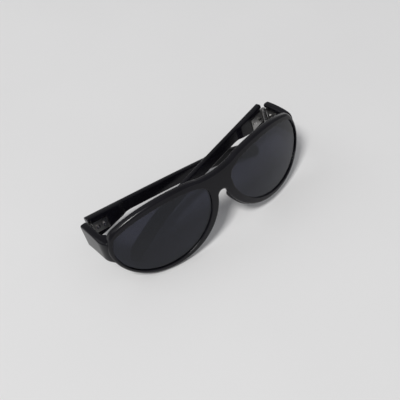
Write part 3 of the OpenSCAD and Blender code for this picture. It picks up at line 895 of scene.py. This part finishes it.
class SUNGLASSES_OT_front(bpy.types.Operator):
    """Build the one-piece front with its rims, bridge, end pieces and nose edges"""
    bl_idname = "sunglasses.front"
    bl_label = "Front"

    def execute(self, context):
        sizes = context.scene.sunglasses_sizes
        skins = [front_shell(sizes.rim_edge * MM, sizes.lens_edge * MM)]
        for points, faces in (end_piece(END_EDGE), nose_edge()):
            skins += [(mirrored(points, side), outward(faces, side)) for side in (1, -1)]
        points, faces = joined(skins)
        piece = mesh_object("wrap_front", points, faces, frame_material(),
                            "front", "front_frame")
        weld(piece)
        return {"FINISHED"}


class SUNGLASSES_OT_lenses(bpy.types.Operator):
    """Build the two bowed lenses in their rims"""
    bl_idname = "sunglasses.lenses"
    bl_label = "Lenses"

    def execute(self, context):
        points, faces = lens_shell()
        for side, sign in SIDES.items():
            mesh_object("bowed_lens_" + side, mirrored(points, sign), outward(faces, sign),
                        lens_material(), "front", "lens_" + side)
        return {"FINISHED"}


class SUNGLASSES_OT_pads(bpy.types.Operator):
    """Build the soft pads on the nose edges"""
    bl_idname = "sunglasses.pads"
    bl_label = "Nose pads"

    def execute(self, context):
        points, faces = nose_pad()
        for side, sign in SIDES.items():
            mesh_object("soft_pad_" + side, mirrored(points, sign), outward(faces, sign),
                        rubber_material(), "front", "nose_pad_" + side)
        return {"FINISHED"}


class SUNGLASSES_OT_temples(bpy.types.Operator):
    """Build the two temples, folded, with the soft sleeves on their ends"""
    bl_idname = "sunglasses.temples"
    bl_label = "Temples"

    def execute(self, context):
        edge = context.scene.sunglasses_sizes.arm_edge * MM
        for side, sign in SIDES.items():
            points, faces = arm_skin(edge)
            mesh_object("slim_temple_" + side, folded(points, side), outward(faces, sign),
                        frame_material(), "temple_" + side, "temple_arm_" + side)
            points, faces = sleeve_skin(edge * SLEEVE_EDGE)
            mesh_object("soft_sleeve_" + side, folded(points, side), outward(faces, sign),
                        rubber_material(), "temple_" + side, "temple_tip_" + side)
        return {"FINISHED"}


class SUNGLASSES_OT_hinges(bpy.types.Operator):
    """Give the metal leaves and the screws of both hinges their finish"""
    bl_idname = "sunglasses.hinges"
    bl_label = "Hinges"

    def execute(self, context):
        steel = steel_material()
        screw = screw_material()
        for name, node in frame["nodes"].items():
            if "screw" in name or "leaf" in name:
                node.data.materials.clear()
                node.data.materials.append(screw if "screw" in name else steel)
        return {"FINISHED"}


def soft_light(name, spot, size, power, colour):
    """A square area light at a spot, turned to shine at the part."""
    data = bpy.data.lights.new(name, "AREA")
    data.shape = "SQUARE"
    data.size = size
    data.energy = power
    data.color = colour
    light = bpy.data.objects.new(name, data)
    bpy.context.scene.collection.objects.link(light)
    light.location = spot
    light.rotation_euler = Vector(spot).to_track_quat("Z", "Y").to_euler()


class SUNGLASSES_OT_stage(bpy.types.Operator):
    """Build the pale table, the soft light and the camera of the photograph"""
    bl_idname = "sunglasses.stage"
    bl_label = "Stage"

    def execute(self, context):
        half = context.scene.sunglasses_sizes.floor_size / 2
        mesh = bpy.data.meshes.new("table_top")
        corners = [(-half, -half, 0), (half, -half, 0), (half, half, 0), (-half, half, 0)]
        mesh.from_pydata(corners, [], [(0, 1, 2, 3)])
        mesh.materials.append(table_material())
        table = bpy.data.objects.new("table_top", mesh)
        context.scene.collection.objects.link(table)
        world = bpy.data.worlds.new("Soft room")
        world.use_nodes = True
        background = world.node_tree.nodes["Background"]
        background.inputs["Color"].default_value = ROOM_COLOUR
        background.inputs["Strength"].default_value = ROOM_STRENGTH
        context.scene.world = world
        soft_light("ceiling", *CEILING)
        soft_light("window", *WINDOW)
        context.scene.view_settings.view_transform = "Standard"
        self.camera(context)
        return {"FINISHED"}

    def camera(self, context):
        """Camera at the photograph's angle: turned round, raised over and rolled against the front."""
        turn = math.radians(CAMERA_TURN)
        rise = math.radians(CAMERA_RISE)
        roll = math.radians(CAMERA_ROLL)
        ahead = np.array([-math.sin(turn), math.cos(turn), 0.0])
        look = ahead * math.cos(rise) + [0.0, 0.0, -math.sin(rise)]
        level = np.array([math.cos(turn), math.sin(turn), 0.0])
        over = np.cross(level, look)
        right = level * math.cos(roll) + over * math.sin(roll)
        up = np.cross(right, look)
        data = bpy.data.cameras.new("photo_camera")
        data.sensor_width = SENSOR_WIDTH
        data.lens = PIXELS_PER_MM * CAMERA_AWAY / IMAGE_WIDTH * SENSOR_WIDTH
        data.shift_x = (IMAGE_WIDTH / 2 - AXIS_PIXEL[0]) / IMAGE_WIDTH
        data.shift_y = (AXIS_PIXEL[1] - IMAGE_WIDTH / 2) / IMAGE_WIDTH
        data.clip_start = 0.01
        camera = bpy.data.objects.new("photo_camera", data)
        context.scene.collection.objects.link(camera)
        axes = TURN @ np.stack([right, up, -look], axis=1)
        spot = place(CAMERA_AIM - CAMERA_AWAY * look)
        camera.matrix_world = Matrix([[*axes[k], spot[k]] for k in range(3)] + [[0, 0, 0, 1]])
        context.scene.camera = camera


class SUNGLASSES_PT_panel(bpy.types.Panel):
    """Sidebar list of the pieces and their sizes and colours"""
    bl_idname = "SUNGLASSES_PT_panel"
    bl_label = "Sunglasses"
    bl_space_type = "VIEW_3D"
    bl_region_type = "UI"
    bl_category = "Sunglasses"

    def draw(self, context):
        layout = self.layout
        for group in (context.scene.sunglasses_sizes, context.scene.sunglasses_colours):
            for name in group.__annotations__:
                layout.prop(group, name)
        for step in STEPS:
            layout.operator(step.bl_idname)


STEPS = (SUNGLASSES_OT_front, SUNGLASSES_OT_lenses, SUNGLASSES_OT_pads, SUNGLASSES_OT_temples,
         SUNGLASSES_OT_hinges, SUNGLASSES_OT_stage)
CLASSES = (SunglassesSizes, SunglassesColours, *STEPS, SUNGLASSES_PT_panel)


def register():
    """Makes the classes known to Blender and hangs the settings on the scene."""
    for cls in CLASSES:
        bpy.utils.register_class(cls)
    bpy.types.Scene.sunglasses_sizes = PointerProperty(type=SunglassesSizes)
    bpy.types.Scene.sunglasses_colours = PointerProperty(type=SunglassesColours)


def unregister():
    """Takes the settings and the classes away again."""
    del bpy.types.Scene.sunglasses_colours
    del bpy.types.Scene.sunglasses_sizes
    for cls in reversed(CLASSES):
        bpy.utils.unregister_class(cls)


def main():
    """Builds every piece."""
    register()
    bpy.ops.sunglasses.front()
    bpy.ops.sunglasses.lenses()
    bpy.ops.sunglasses.pads()
    bpy.ops.sunglasses.temples()
    bpy.ops.sunglasses.hinges()
    bpy.ops.sunglasses.stage()
    bpy.context.view_layer.update()


if __name__ == "__main__":
    main()
